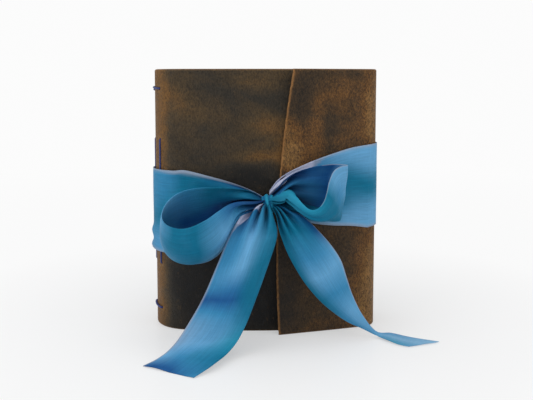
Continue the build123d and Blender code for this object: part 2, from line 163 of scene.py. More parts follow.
def wrap_points():
    """The outer plan of the cover from the front fore edge round the spine to the start of the flap."""
    places = []
    xs = [FRONT_EDGE_X - step for step in FORE_EDGE_STEPS]
    xs += list(np.linspace(xs[-1], CROWN_X, 36)[1:])
    places += [(x, front_y(x)) for x in xs]
    shoulder = (SPINE_X - SPINE_RADIUS * cos(SHOULDER), -SPINE_RADIUS * sin(SHOULDER))
    lean = pi / 2 - SHOULDER
    places += [tuple(p) for p in hermite(places[-1], shoulder, (-1, 0), (-cos(lean), sin(lean)), 20)[1:]]
    sewing_lines = [radians(angle) for angle in SEWING_ANGLES]
    angles = with_fine_steps(np.linspace(-SHOULDER, SHOULDER, 56)[:-1], sewing_lines, 1 / SPINE_RADIUS)
    for angle in reversed(angles):
        places.append((SPINE_X - SPINE_RADIUS * cos(angle), -SPINE_RADIUS * sin(angle)))
    corner = BACK_CORNER_ANGLE
    corner_x = HALF_WIDTH - BACK_CORNER_RADIUS
    corner_y = BACK_Y - BACK_CORNER_RADIUS * cos(corner)
    start = (corner_x + BACK_CORNER_RADIUS * sin(corner), BACK_Y)
    crown = (CROWN_X, CROWN_Y)
    level = (cos(CROWN_TURN), -sin(CROWN_TURN))
    places += [tuple(p) for p in hermite(places[-1], crown, (cos(lean), sin(lean)), level, 20)[1:]]
    places += [tuple(p) for p in hermite(crown, start, level, (cos(corner), -sin(corner)), 28)[1:]]
    for angle in np.linspace(pi / 2 - corner, 0, 14)[1:]:
        x = corner_x + BACK_CORNER_RADIUS * cos(angle)
        places.append((x, corner_y + BACK_CORNER_RADIUS * sin(angle)))
    slope = front_slope(FLAP_START_X)
    radius = (HALF_WIDTH - FLAP_START_X) / (1 - sin(slope))
    front_corner_y = pressed_flap_y(FLAP_START_X) + radius * cos(slope)
    places += [(HALF_WIDTH, y) for y in np.linspace(corner_y, front_corner_y, 8)[1:]]
    for angle in np.linspace(0, slope - pi / 2, 14)[1:]:
        places.append((HALF_WIDTH - radius + radius * cos(angle), front_corner_y + radius * sin(angle)))
    return places


def rounded_depth(distance, radius):
    """How deep a rounded edge has sunk at a distance from the cut."""
    inside = np.clip(radius - distance, 0, radius)
    return radius - np.sqrt(radius**2 - inside**2)


def grid_faces(rows, columns, keep=None):
    """The four-sided faces of a grid of points, without those that touch a point that isn't kept."""
    faces = []
    for i in range(columns - 1):
        for j in range(rows - 1):
            corners = (i * rows + j, (i + 1) * rows + j, (i + 1) * rows + j + 1, i * rows + j + 1)
            if keep is None or all(keep[c] for c in corners):
                faces.append(corners)
    return faces


def closed_shell(outer, inner, faces):
    """Both sides of a sheet and the rim between them, from the faces of one side."""
    count = len(outer)
    edges = {}
    for face in faces:
        for a, b in zip(face, face[1:] + face[:1]):
            edges[(a, b)] = edges.get((a, b), 0) + 1
    result = list(faces) + [tuple(count + v for v in reversed(face)) for face in faces]
    rims = [(a, b) for (a, b) in edges if (b, a) not in edges]
    result += [(b, a, count + a, count + b) for a, b in rims]
    return np.vstack([outer, inner]), result, 2 * len(faces)


def new_mesh(name, points, faces, materials):
    mesh = bpy.data.meshes.new(name)
    mesh.from_pydata([tuple(p) for p in points * MM], [], faces)
    mesh.update()
    for material in materials:
        mesh.materials.append(material)
    mesh.shade_smooth()
    body = bpy.data.objects.new(name, mesh)
    bpy.context.scene.collection.objects.link(body)
    return body


def paint(mesh, name, values, kind="FLOAT"):
    """A value, colour or vector for each point of a mesh, for its material to read."""
    layer = mesh.attributes.new(name, kind, "POINT")
    field = {"FLOAT": "value", "FLOAT_COLOR": "color", "FLOAT_VECTOR": "vector"}[kind]
    layer.data.foreach_set(field, np.asarray(values, dtype=np.float32).ravel())


# Materials
def linear(red, green, blue):
    """A linear colour from its everyday 0 to 255 values."""
    parts = []
    for value in (red, green, blue):
        share = value / 255
        parts.append(share / 12.92 if share <= 0.04045 else ((share + 0.055) / 1.055) ** 2.4)
    return (*parts, 1.0)


class Nodes:
    """A short way to write a material's nodes."""

    def __init__(self, name):
        self.material = bpy.data.materials.new(name)
        self.material.use_nodes = True
        self.tree = self.material.node_tree
        self.shader = self.tree.nodes["Principled BSDF"]
        self.place = self.add("ShaderNodeTexCoord").outputs["Object"]

    def add(self, kind, inputs=None, **settings):
        node = self.tree.nodes.new(kind)
        for key, value in settings.items():
            setattr(node, key, value)
        for key, value in (inputs or {}).items():
            self.feed(value, node.inputs[key])
        return node

    def feed(self, value, socket):
        if isinstance(value, bpy.types.NodeSocket):
            self.tree.links.new(value, socket)
        else:
            socket.default_value = value

    def attribute(self, name, output="Fac"):
        return self.add("ShaderNodeAttribute", attribute_name=name).outputs[output]

    def stretch(self, scale, vector=None):
        mapping = {"Vector": vector or self.place, "Scale": scale}
        return self.add("ShaderNodeMapping", mapping).outputs["Vector"]

    def noise(self, scale, detail=3.0, rough=0.5, vector=None, distortion=0.0):
        settings = {"Vector": vector or self.place, "Scale": scale, "Detail": detail}
        settings.update({"Roughness": rough, "Distortion": distortion})
        return self.add("ShaderNodeTexNoise", settings).outputs["Fac"]

    def ramp(self, value, *stops):
        node = self.add("ShaderNodeValToRGB", {"Fac": value})
        ramp = node.color_ramp
        while len(ramp.elements) < len(stops):
            ramp.elements.new(0.5)
        for element, (position, colour) in zip(ramp.elements, stops):
            element.position = position
            element.color = colour if hasattr(colour, "__len__") else (colour, colour, colour, 1.0)
        return node.outputs["Color"]

    def mix(self, share, one, two, blend="MIX"):
        node = self.add("ShaderNodeMix", data_type="RGBA", blend_type=blend)
        self.feed(share, node.inputs[0])
        self.feed(one, node.inputs[6])
        self.feed(two, node.inputs[7])
        return node.outputs[2]

    def math(self, operation, one, two=0.0, clamp=False):
        node = self.add("ShaderNodeMath", operation=operation, use_clamp=clamp)
        self.feed(one, node.inputs[0])
        self.feed(two, node.inputs[1])
        return node.outputs[0]

    def bump(self, height, distance, strength, normal=None):
        node = self.add("ShaderNodeBump", {"Height": height, "Distance": distance, "Strength": strength})
        if normal is not None:
            self.feed(normal, node.inputs["Normal"])
        return node.outputs["Normal"]

    def finish(self, colour, roughness, normal=None, **sockets):
        self.feed(colour, self.shader.inputs["Base Color"])
        self.feed(roughness, self.shader.inputs["Roughness"])
        if normal is not None:
            self.feed(normal, self.shader.inputs["Normal"])
        for key, value in sockets.items():
            self.shader.inputs[key.replace("_", " ")].default_value = value
        return self.material


def leather_material():
    n = Nodes("pull_up_leather")
    flap = n.attribute("flap")
    # The wax's lightness, which holds painted reflection at the silhouettes and painted shade under the
    # ribbon
    wax_and_painted_light = n.attribute("wax_and_painted_light")
    clouds = n.noise(24.0, 5.0, 0.6, n.stretch((0.7, 1.0, 1.3)), 0.8)
    streaks = n.noise(60.0, 4.0, 0.6, n.stretch((0.4, 1.0, 1.4)), 0.5)
    lit = n.math("MULTIPLY", wax_and_painted_light, n.math("ADD", n.math("MULTIPLY", streaks, 1.2), 0.4))
    broad = n.math("ADD", n.math("MULTIPLY", clouds, 0.7), n.math("MULTIPLY", lit, 0.5))
    front = n.ramp(
        broad,
        (0.20, linear(13, 11, 10)),
        (0.29, linear(24, 21, 17)),
        (0.44, linear(50, 43, 32)),
        (0.62, linear(80, 62, 36)),
        (0.84, linear(120, 83, 36)),
    )
    warm = n.ramp(
        broad,
        (0.22, linear(40, 31, 21)),
        (0.45, linear(74, 54, 29)),
        (0.66, linear(120, 80, 34)),
        (0.85, linear(146, 106, 56)),
    )
    colour = n.mix(flap, front, warm)
    grain_place = n.stretch((1.5, 1.5, 0.8))
    grain = n.noise(900.0, 6.0, 0.62, grain_place, 0.8)
    pores = n.ramp(grain, (0.38, 0.3), (0.56, 1.1))
    depth = n.math("ADD", n.math("MULTIPLY", flap, 0.2), 0.75)
    colour = n.mix(depth, colour, pores, "MULTIPLY")
    worms = n.noise(380.0, 3.0, 0.6, n.stretch((1.5, 1.5, 0.6)), 2.0)
    lines = n.ramp(n.math("ABSOLUTE", n.math("SUBTRACT", worms, 0.5)), (0.0, 0.35), (0.08, 1.0))
    colour = n.mix(n.math("ADD", n.math("MULTIPLY", flap, 0.5), 0.25), colour, lines, "MULTIPLY")
    flecks = n.ramp(n.noise(420.0, 5.0, 0.7), (0.60, 0.0), (0.78, 1.0))
    colour = n.mix(n.math("MULTIPLY", flecks, 0.3), colour, linear(138, 104, 56))
    scuff = n.math("MULTIPLY", n.attribute("scuff"), n.noise(700.0, 3.0), clamp=True)
    colour = n.mix(n.math("MULTIPLY", scuff, 1.1, clamp=True), colour, linear(150, 112, 62))
    rub = n.ramp(n.noise(500.0, 4.0), (0.3, 0.5), (0.6, 1.0))
    edge = n.math("MULTIPLY", n.attribute("edge"), rub)
    colour = n.mix(edge, colour, linear(168, 118, 66))
    rough = n.ramp(n.noise(60.0, 4.0), (0.35, 0.46), (0.7, 0.62))
    wrinkle = n.noise(260.0, 4.0, 0.55, grain_place, 0.4)
    height = n.math("ADD", grain, n.math("MULTIPLY", wrinkle, 0.8))
    height = n.math("ADD", height, n.math("MULTIPLY", lines, 0.6))
    normal = n.bump(height, 0.0003, 0.9)
    return n.finish(colour, rough, normal, Specular_IOR_Level=0.3)


def flesh_material():
    n = Nodes("leather_flesh_side")
    fuzz = n.noise(900.0, 6.0, 0.7)
    colour = n.ramp(fuzz, (0.3, linear(112, 82, 52)), (0.7, linear(158, 122, 82)))
    return n.finish(colour, 0.9, n.bump(fuzz, 0.00025, 0.7), Sheen_Weight=0.3)


def raw_edge_material():
    n = Nodes("leather_cut_edge")
    fibres = n.noise(600.0, 5.0, 0.7, n.stretch((1.0, 1.0, 2.0)))
    colour = n.ramp(fibres, (0.3, linear(96, 66, 36)), (0.7, linear(156, 112, 66)))
    return n.finish(colour, 0.85, n.bump(fibres, 0.0002, 0.6))


def paper_material():
    n = Nodes("page_paper")
    leaves = n.add(
        "ShaderNodeTexWave",
        {"Vector": n.place, "Scale": 410.0, "Distortion": 1.2, "Detail": 2.0, "Detail Scale": 0.6},
        bands_direction="Y",
    ).outputs["Fac"]
    tone = n.mix(n.noise(40.0, 3.0), linear(236, 228, 208), linear(222, 210, 184))
    colour = n.mix(n.math("MULTIPLY", leaves, 0.35), tone, linear(176, 160, 130))
    return n.finish(colour, 0.9, n.bump(leaves, 0.0003, 0.6))


def thread_material():
    n = Nodes("waxed_thread")
    twist = n.add(
        "ShaderNodeTexWave",
        {"Vector": n.place, "Scale": 620.0, "Distortion": 0.6, "Detail": 1.0},
        bands_direction="DIAGONAL",
    ).outputs["Fac"]
    colour = n.mix(n.math("MULTIPLY", twist, 0.6), linear(22, 34, 92), linear(58, 76, 150))
    return n.finish(colour, 0.5, n.bump(twist, 0.0002, 0.8))


def silk_material():
    n = Nodes("dyed_silk")
    # The dye attribute also holds painted shade and highlight on the folds, the knot and the loops
    dye = n.attribute("dye", "Color")
    blotch = n.noise(70.0, 4.0, 0.6, None, 0.8)
    colour = n.mix(n.ramp(blotch, (0.48, 0.0), (0.80, 0.15)), dye, linear(84, 152, 196))
    cloth = n.attribute("cloth", "Vector")
    warp = n.noise(1.0, 3.0, 0.6, n.stretch((1400.0, 70.0, 1.0), cloth))
    weft = n.noise(1.0, 3.0, 0.6, n.stretch((90.0, 1500.0, 1.0), cloth))
    colour = n.mix(0.4, colour, n.ramp(warp, (0.3, 0.62), (0.7, 1.2)), "MULTIPLY")
    colour = n.mix(0.12, colour, n.ramp(weft, (0.3, 0.62), (0.7, 1.2)), "MULTIPLY")
    weave = n.math("ADD", warp, n.math("MULTIPLY", weft, 0.4))
    crease = n.noise(140.0, 4.0, 0.55, None, 0.5)
    normal = n.bump(crease, 0.0012, 0.28)
    normal = n.bump(weave, 0.0001, 0.6, normal)
    return n.finish(colour, 0.55, normal, Sheen_Weight=0.03, Sheen_Roughness=0.4, Specular_IOR_Level=0.12)


LEATHER_SKIN = leather_material()
LEATHER_FLESH = flesh_material()
LEATHER_EDGE = raw_edge_material()
PAPER = paper_material()
THREAD = thread_material()
SILK = silk_material()


# The cover, one sheet with rounded cut edges and its sewing holes
def with_sewing(plan, z, depth):
    """The sheet with its points drawn to the rims of the holes and pressed in under the thread."""
    keep = np.ones(z.shape, dtype=bool)
    scuff = np.zeros(z.shape)
    for angle in SEWING_ANGLES:
        turn = radians(angle)
        line = np.array([SPINE_X - SPINE_RADIUS * cos(turn), -SPINE_RADIUS * sin(turn)])
        round_spine = np.array([sin(turn), -cos(turn)])
        aside = (plan - line) @ round_spine
        near_line = np.linalg.norm(plan - line, axis=2) < SEWING_REACH
        under_stitch = (z > STATIONS[2]) & (z < STATIONS[1])
        pressed = near_line & under_stitch & (np.abs(aside) < GROOVE_RADIUS)
        sunk = SPINE_RADIUS - GROOVE_CENTRE + np.sqrt(np.maximum(GROOVE_RADIUS**2 - aside**2, 0))
        depth = np.where(pressed, np.maximum(sunk, 0), depth)
        for number, station in enumerate(STATIONS):
            twin = PASS_OFFSET if angle == 0 and number in (0, len(STATIONS) - 1) else 0.0
            rise = z - station
            past = np.sign(rise) * np.maximum(np.abs(rise) - twin, 0)
            reach = np.where(near_line, np.hypot(aside, past), np.inf)
            keep &= reach > CUT_REACH
            ring = (reach > CUT_REACH) & (reach < SNAP_REACH)
            pull = np.where(ring, HOLE_RADIUS / np.maximum(reach, CUT_REACH) - 1, 0)
            plan = plan + (aside * pull)[..., None] * round_spine
            z = z + past * pull
            scuff = np.maximum(scuff, np.exp(-((reach / SCUFF_REACH) ** 2)))
    return plan, z, depth, keep, scuff


def cover_piece():
    wrap = wrap_points()
    flap_shares = list(np.linspace(0, 0.93, 30)[1:]) + FLAP_EDGE_SHARES
    top = [COVER_HEIGHT - level for level in reversed(ROUNDING_LEVELS)]
    even_levels = np.linspace(ROUNDING_LEVELS[-1], top[0], 110)[1:-1]
    levels = np.array(ROUNDING_LEVELS + with_fine_steps(even_levels, STATIONS, 1.0) + top)
    rows = len(levels)
    columns = len(wrap) + len(flap_shares)
    plan = np.zeros((columns, rows, 2))
    for i, place in enumerate(wrap):
        plan[i, :] = place
    for i, share in enumerate(flap_shares):
        for j, z in enumerate(levels):
            plan[len(wrap) + i, j] = flap_point(share, z)
    ahead = np.gradient(plan, axis=0)
    ahead /= np.linalg.norm(ahead, axis=2, keepdims=True)
    outward = np.stack([-ahead[..., 1], ahead[..., 0]], axis=2)
    steps = np.linalg.norm(np.diff(plan, axis=0), axis=2)
    along = np.vstack([np.zeros((1, rows)), np.cumsum(steps, axis=0)])
    to_end = np.minimum(along, along[-1] - along)
    z = np.tile(levels, (columns, 1))
    to_rim = np.minimum(z, COVER_HEIGHT - z)
    nearest = np.minimum(to_end, to_rim)
    outer_depth = rounded_depth(nearest, OUTER_ROUNDING)
    inner_depth = LEATHER - rounded_depth(nearest, INNER_ROUNDING)
    plan, z, outer_depth, keep, scuff = with_sewing(plan, z, outer_depth)
    outer = np.dstack([plan - outward * outer_depth[..., None], z]).reshape(-1, 3)
    inner = np.dstack([plan - outward * inner_depth[..., None], z]).reshape(-1, 3)
    points, faces, rim_start = closed_shell(outer, inner, grid_faces(rows, columns, keep.reshape(-1)))
    cover = new_mesh("leather_wrap", points, faces, [LEATHER_SKIN, LEATHER_FLESH, LEATHER_EDGE])
    for number, polygon in enumerate(cover.data.polygons):
        if number >= rim_start:
            polygon.material_index = 2
        elif number >= rim_start // 2:
            polygon.material_index = 1
    flap = np.clip((along - along[len(wrap) - FLAP_COLOUR_POINTS]) / FLAP_COLOUR_REACH, 0, 1).reshape(-1)
    rub = np.where(to_end < to_rim, FLAP_EDGE_RUB, RIM_RUB)
    edge = (rub * np.clip(1.2 - nearest / RUB_REACH, 0, 1)).reshape(-1)
    # The wax's lightness carries painted reflection at the silhouettes and painted shade under the ribbon
    values = {"flap": flap, "edge": edge, "scuff": scuff.reshape(-1), "wax_and_painted_light": wax_and_painted_light_of(outer)}
    for name, of_outer in values.items():
        paint(cover.data, name, np.tile(of_outer, 2))
    return cover


# Where the wax has pulled up lighter or lies darker, with painted reflection along the silhouettes and
# painted shade at the lower left under the ribbon: x, z, both reaches and strength
WAX_AND_PAINTED_LIGHT_PATCHES = [
    (-5, 145, 14, 5, 0.35),
    (3, 120, 12, 8, 0.50),
    (0, 102, 13, 4, 0.75),
    (-30, 128, 22, 8, 0.22),
    (-52, 138, 12, 16, 0.30),
    # Painted shade at the lower left of the front, under the hanging left tail and the bow
    (-22, 26, 36, 36, -0.60),
    (-12, 90, 16, 9, -0.30),
    (-30, 108, 16, 9, 0.08),
    (-57, 12, 12, 16, 0.22),
    (15, 104, 8, 13, 0.75),
    (30, 120, 6, 18, 0.40),
    (44, 140, 12, 14, 0.28),
    (22, 138, 6, 14, -0.20),
    (36, 116, 4, 16, -0.30),
    # Painted reflection along the right silhouette, with the wax pulled up at the bend
    (64, 130, 7, 30, 1.00),
    (63, 15, 10, 45, 0.95),
    (28, 34, 10, 20, 0.20),
    (14, 20, 6, 20, -0.15),
    (48, 40, 12, 12, -0.10),
]
# The light of plain leather, and how much lighter the spine is painted, for its pulled-up wax and a painted
# reflection along its silhouette, from where and how soon
PLAIN_LIGHT = 0.22
SPINE_PULL_UP_AND_SHEEN = 1.1
SPINE_PULL_UP_AND_SHEEN_X = -54.0
SPINE_PULL_UP_AND_SHEEN_REACH = 10.0


def wax_and_painted_light_of(points):
    """How light the wax is at each place, from the patches and the lighter spine, with painted reflection
    at the silhouettes and painted shade under the ribbon.
    """
    wax_and_painted_light = np.full(len(points), PLAIN_LIGHT)
    for x, z, reach_x, reach_z, strength in WAX_AND_PAINTED_LIGHT_PATCHES:
        distance = ((points[:, 0] - x) / reach_x) ** 2 + ((points[:, 2] - z) / reach_z) ** 2
        wax_and_painted_light += strength * np.exp(-distance)
    # The spine's left side is painted lighter: pulled-up wax and a painted reflection along the silhouette
    wax_and_painted_light += SPINE_PULL_UP_AND_SHEEN * np.clip((SPINE_PULL_UP_AND_SHEEN_X - points[:, 0]) / SPINE_PULL_UP_AND_SHEEN_REACH, 0, 1)
    return wax_and_painted_light


# The ribbon, strands of one silk strip between two selvedges
def smooth(values, shares):
    """A smooth curve through evenly spaced values, read at shares of its whole length."""
    values = np.asarray(values, dtype=float)
    if values.ndim == 1:
        values = values[:, None]
    last = len(values) - 1
    padded = np.vstack([2 * values[0] - values[1], values, 2 * values[-1] - values[-2]])
    place = np.clip(shares, 0, 1) * last
    number = np.minimum(place.astype(int), last - 1)
    t = (place - number)[:, None]
    one, two, three, four = (padded[number + k] for k in range(4))
    return cubic(two, (three - one) / 2, three, (four - two) / 2, t)


SILK_THICKNESS = 0.3
KNOT = np.array([1.5, -30.0, 77.0])
CLOTH_SPACING = 100.0

# How strongly the cloth is gathered near the knot, how far from it, and how it is pinched beside it
GATHER_NEAR = 1.05
GATHER_NEAR_REACH = 15.0
GATHER_FAR = 0.16
GATHER_FAR_REACH = 34.0
PINCH = 0.85
PINCH_REACH = 5.0

# How the pleats wander, how flat their crests are, and the soft ripple between them
PLEAT_LEAN = 0.07
PLEAT_DRIFT = 0.10
PLEAT_DRIFT_LENGTH = 40.0
CREST_FLATNESS = 0.4
RIPPLE_RATE = 2.2
RIPPLE_LENGTH = 16.0
RIPPLE_WIDTH = 30.0

# How the dye wanders along and across, how strongly the folds are painted, with painted shade in their
# valleys and painted highlight on their crests, and how soon that is full
DYE_DRIFT_ALONG = 0.05
DYE_DRIFT_ACROSS = 0.30
DYE_LENGTH_ALONG = 22.0
DYE_LENGTH_ACROSS = 28.0
FOLD_SHADE_AND_HIGHLIGHT = 0.38
FOLD_SHADE_AND_HIGHLIGHT_RISE = 1.4

# How wide a pale edge is that counts as a folded-over strip or a faded one, and how soft its border is
FOLD_STRIP = 0.1
FADED_STRIP = 0.05
EDGE_BLUR = 0.03
SELVEDGE_SHARE = 0.8


def dye(red, green, blue):
    return np.array(linear(red, green, blue)[:3])


TEAL = dye(8, 112, 146)
AQUA = dye(34, 146, 180)
STEEL = dye(56, 136, 182)
LIGHT = dye(102, 166, 210)
ICE = dye(132, 184, 220)
BLUE = dye(20, 82, 142)
ROYAL = (BLUE + STEEL) / 2
DEEP = dye(4, 40, 92)
NAVY = dye(3, 20, 56)
PALE = dye(142, 158, 184)
FOLD = dye(190, 196, 222)
SELVEDGE = dye(158, 168, 186)
NO_EDGE = [(0, 0), (1, 0)]


def blend(one, two, share):
    return one * (1 - share) + two * share


def ease(t):
    return t * t * (3 - 2 * t)


def gather_at(from_knot, depth):
    """How much of the spare cloth stands in pleats at each distance from the knot."""
    near = GATHER_NEAR * np.exp(-((from_knot / GATHER_NEAR_REACH) ** 2))
    far = GATHER_FAR * np.exp(-((from_knot / GATHER_FAR_REACH) ** 2))
    return (near + far) * depth * (1 - PINCH * np.exp(-((from_knot / PINCH_REACH) ** 2)))


def pleat_wave(u, walked, pleats, seed):
    """The pleats across one line of the ribbon, from -1 in a valley to 1 on a crest."""
    drift = PLEAT_DRIFT * noise.noise(Vector((walked / PLEAT_DRIFT_LENGTH, seed, 0.5)))
    phase = u + PLEAT_LEAN * np.sin(5 * u + seed) + drift * np.sin(pi * u)
    wave = np.cos(2 * pi * pleats * phase + 0.4 * seed)
    return wave / (1 - CREST_FLATNESS + CREST_FLATNESS * np.abs(wave))


def dye_at(dyes, share, walked, side, seed):
    """The dye at a place: each stop has the colours of the first selvedge, the middle and the other one."""
    share += DYE_DRIFT_ALONG * noise.noise(Vector((side * 1.5 + seed, walked / DYE_LENGTH_ALONG, 3.0)))
    side += DYE_DRIFT_ACROSS * noise.noise(Vector((side * 2 + seed, walked / DYE_LENGTH_ACROSS, 9.0)))
    share = min(max(share, 0.0), 1.0)
    side = min(max(side, 0.0), 1.0)
    number = 0
    while number < len(dyes) - 2 and dyes[number + 1][0] < share:
        number += 1
    start, end = dyes[number], dyes[number + 1]
    t = (share - start[0]) / (end[0] - start[0])
    first, second, third = (blend(one, two, t) for one, two in zip(start[1:], end[1:]))
    if side < 0.5:
        return first + (second - first) * ease(side * 2)
    return second + (third - second) * ease(side * 2 - 1)


def with_pale_edge(colours, side, reach):
    """One line's colours with a selvedge, or a strip folded over it, that reaches in from one side."""
    if reach > FOLD_STRIP:
        tone = FOLD
    elif reach > FADED_STRIP:
        tone = PALE
    else:
        tone = blend(colours, SELVEDGE, SELVEDGE_SHARE)
    return blend(colours, tone, np.clip((reach - side) / EDGE_BLUR + 0.5, 0, 1)[:, None])


def strand(
    cuts,
    dyes,
    upper_edge,
    lower_edge,
    seed,
    along_steps,
    across_steps=40,
    pleats=3,
    depth=1.0,
    far_end=True,
    ripple=(-0.8, 0.8),
    bumps=(),
):
    """One length of ribbon: its places, its colours and where each place lies in the flat cloth."""
    uppers, lowers, bows = (np.array([cut[part] for cut in cuts], dtype=float) for part in range(3))
    v = np.linspace(0, 1, along_steps + 1)
    u = np.linspace(0, 1, across_steps + 1)
    upper, lower, bow = smooth(uppers, v), smooth(lowers, v), smooth(bows, v)[:, 0]
    across = lower - upper
    width = np.linalg.norm(across, axis=1)
    middle = (upper + lower) / 2
    along = np.gradient(middle, axis=0)
    unit = across / width[:, None]
    along -= unit * np.sum(along * unit, axis=1)[:, None]
    along /= np.linalg.norm(along, axis=1)[:, None]
    outward = np.cross(along, unit)
    curved = width + 8 / 3 * bow**2 / width
    spare = np.sqrt(np.maximum(RIBBON_WIDTH**2 - curved**2, 0)) / (2 * pleats)
    steps = np.linalg.norm(np.diff(middle, axis=0), axis=1)
    walked = np.concatenate([[0], np.cumsum(steps)])
    length = walked[-1]
    from_knot = np.minimum(walked, length - walked) if far_end else walked
    gathered = gather_at(from_knot, depth)
    points = np.zeros((len(v), len(u), 3))
    colours = np.zeros((len(v), len(u), 3))
    for i, far in enumerate(walked):
        wave = pleat_wave(u, far, pleats, seed)
        height = bow[i] * (1 - (2 * u - 1) ** 2) + spare[i] * gathered[i] / 2 * wave
        places = [Vector((s * RIPPLE_RATE + seed, far / RIPPLE_LENGTH, seed)) for s in u]
        sway = 0.5 + 0.5 * np.array([noise.noise(place) for place in places])
        soft = min(max(width[i] / RIPPLE_WIDTH, 0.2), 1)
        height = height + (ripple[0] + (ripple[1] - ripple[0]) * sway) * soft
        for at, side, reach_along, reach_across, rise in bumps:
            close = ((far - at) / reach_along) ** 2 + ((u - side) / reach_across) ** 2
            height = height + rise * np.exp(-close)
        points[i] = upper[i] + across[i] * u[:, None] + outward[i] * height[:, None]
        # Painted shade and highlight: valleys are painted towards navy and crests towards teal as the
        # pleats deepen
        painted_fold_light = wave * min(gathered[i] * FOLD_SHADE_AND_HIGHLIGHT_RISE, 1.0)
        for j, side in enumerate(u):
            tone = TEAL if painted_fold_light[j] > 0 else NAVY
            dyed = dye_at(dyes, far / length, far, side, seed)
            colours[i, j] = blend(dyed, tone, FOLD_SHADE_AND_HIGHLIGHT * abs(painted_fold_light[j]))
        for side, edge in ((u, upper_edge), (1 - u, lower_edge)):
            reach = np.interp(far / length, *zip(*edge))
            if reach > 0:
                colours[i] = with_pale_edge(colours[i], side, reach)
    points[..., 2] = np.maximum(points[..., 2], SILK_THICKNESS)
    across_place, along_place = np.meshgrid(u * RIBBON_WIDTH, walked)
    apart = np.full(across_place.shape, CLOTH_SPACING * seed)
    cloth = np.dstack([across_place, along_place, apart]) * MM
    return points, colours, cloth


def add_strand(store, points, colours, cloth):
    """Both sides of a strand and its rim, added to the ribbon's one mesh."""
    lines, rows = points.shape[:2]
    ahead = np.gradient(points, axis=0)
    aside = np.gradient(points, axis=1)
    normal = np.cross(ahead, aside)
    normal /= np.maximum(np.linalg.norm(normal, axis=2, keepdims=True), 1e-9)
    front = (points + normal * SILK_THICKNESS / 2).reshape(-1, 3)
    back = (points - normal * SILK_THICKNESS / 2).reshape(-1, 3)
    faces = [tuple(reversed(face)) for face in grid_faces(rows, lines)]
    shell, faces, _ = closed_shell(front, back, faces)
    start = sum(len(part) for part in store["points"])
    store["points"].append(shell)
    store["faces"] += [tuple(start + v for v in face) for face in faces]
    store["dye"].append(np.tile(colours.reshape(-1, 3), (2, 1)))
    store["cloth"].append(np.tile(cloth.reshape(-1, 3), (2, 1)))


# The bow: upper selvedge, lower selvedge and how far the cloth bows out, in ribbon widths from the knot.
# For a tail, the third number of a place is its share of the knot's height above the floor.
LEFT_LOOP = [
    ((-0.041, 0.000, 0.051), (-0.041, 0.000, -0.031), 0.000),
    ((-0.223, -0.082, 0.134), (-0.222, -0.021, -0.029), 0.010),
    ((-0.424, -0.165, 0.186), (-0.469, 0.010, -0.236), 0.041),
    ((-0.617, -0.247, 0.210), (-0.646, 0.021, -0.429), 0.072),
    ((-0.808, -0.329, 0.211), (-0.847, 0.021, -0.536), 0.082),
    ((-0.981, -0.391, 0.179), (-1.023, 0.021, -0.584), 0.082),
    ((-1.104, -0.432, 0.097), (-1.162, 0.000, -0.567), 0.051),
    ((-1.166, -0.473, -0.013), (-1.208, -0.041, -0.521), 0.031),
    ((-1.159, -0.535, -0.096), (-1.186, -0.082, -0.571), 0.041),
    ((-1.090, -0.576, -0.154), (-1.106, -0.123, -0.643), 0.082),
    ((-0.952, -0.617, -0.182), (-0.992, -0.165, -0.679), 0.123),
    ((-0.818, -0.617, -0.164), (-0.829, -0.185, -0.686), 0.134),
    ((-0.681, -0.556, -0.103), (-0.643, -0.206, -0.622), 0.123),
    ((-0.544, -0.453, -0.017), (-0.493, -0.206, -0.470), 0.082),
    ((-0.366, -0.309, 0.063), (-0.321, -0.206, -0.134), 0.021),
    ((-0.041, -0.082, 0.041), (-0.041, -0.082, -0.031), 0.000),
]
RIGHT_LOOP = [
    ((0.010, -0.082, 0.051), (0.010, -0.082, -0.021), 0.000),
    ((0.221, -0.165, 0.142), (0.200, -0.103, 0.068), 0.000),
    ((0.309, -0.247, 0.098), (0.274, -0.123, 0.013), 0.010),
    ((0.391, -0.329, 0.027), (0.366, -0.144, -0.056), 0.031),
    ((0.471, -0.391, -0.018), (0.508, -0.165, -0.130), 0.051),
    ((0.553, -0.412, -0.003), (0.646, -0.165, -0.177), 0.062),
    ((0.619, -0.412, 0.076), (0.734, -0.144, -0.193), 0.062),
    ((0.654, -0.391, 0.179), (0.793, -0.123, -0.197), 0.062),
    ((0.681, -0.350, 0.291), (0.830, -0.103, -0.195), 0.051),
    ((0.734, -0.309, 0.403), (0.849, -0.082, -0.170), 0.041),
    ((0.818, -0.247, 0.452), (0.857, -0.062, -0.139), 0.031),
    ((0.903, -0.165, 0.458), (0.846, -0.021, -0.117), 0.021),
    ((0.826, -0.082, 0.459), (0.753, 0.010, -0.094), 0.021),
    ((0.699, -0.062, 0.454), (0.606, 0.010, -0.064), 0.031),
    ((0.483, -0.062, 0.416), (0.416, 0.010, -0.011), 0.031),
    ((0.267, -0.062, 0.329), (0.241, 0.000, 0.056), 0.021),
    ((0.010, 0.000, 0.062), (0.010, 0.000, -0.021), 0.000),
]
LEFT_TAIL = [
    ((-0.065, -0.062, 1.001), (0.016, -0.062, 0.997), 0.000),
    ((-0.197, -0.144, 0.952), (0.050, -0.144, 0.948), 0.041),
    ((-0.320, -0.226, 0.904), (0.089, -0.226, 0.882), 0.072),
    ((-0.442, -0.309, 0.780), (0.103, -0.288, 0.788), 0.103),
    ((-0.562, -0.412, 0.605), (0.032, -0.370, 0.646), 0.123),
    ((-0.702, -0.535, 0.406), (-0.114, -0.494, 0.404), 0.123),
    ((-0.838, -0.658, 0.259), (-0.255, -0.638, 0.198), 0.103),
    ((-1.018, -0.782, 0.101), (-0.389, -0.782, 0.078), 0.072),
    ((-1.166, -0.915, 0.042), (-0.569, -1.102, 0.042), 0.031),
    ((-1.319, -0.987, 0.006), (-0.756, -1.300, 0.006), 0.000),
]
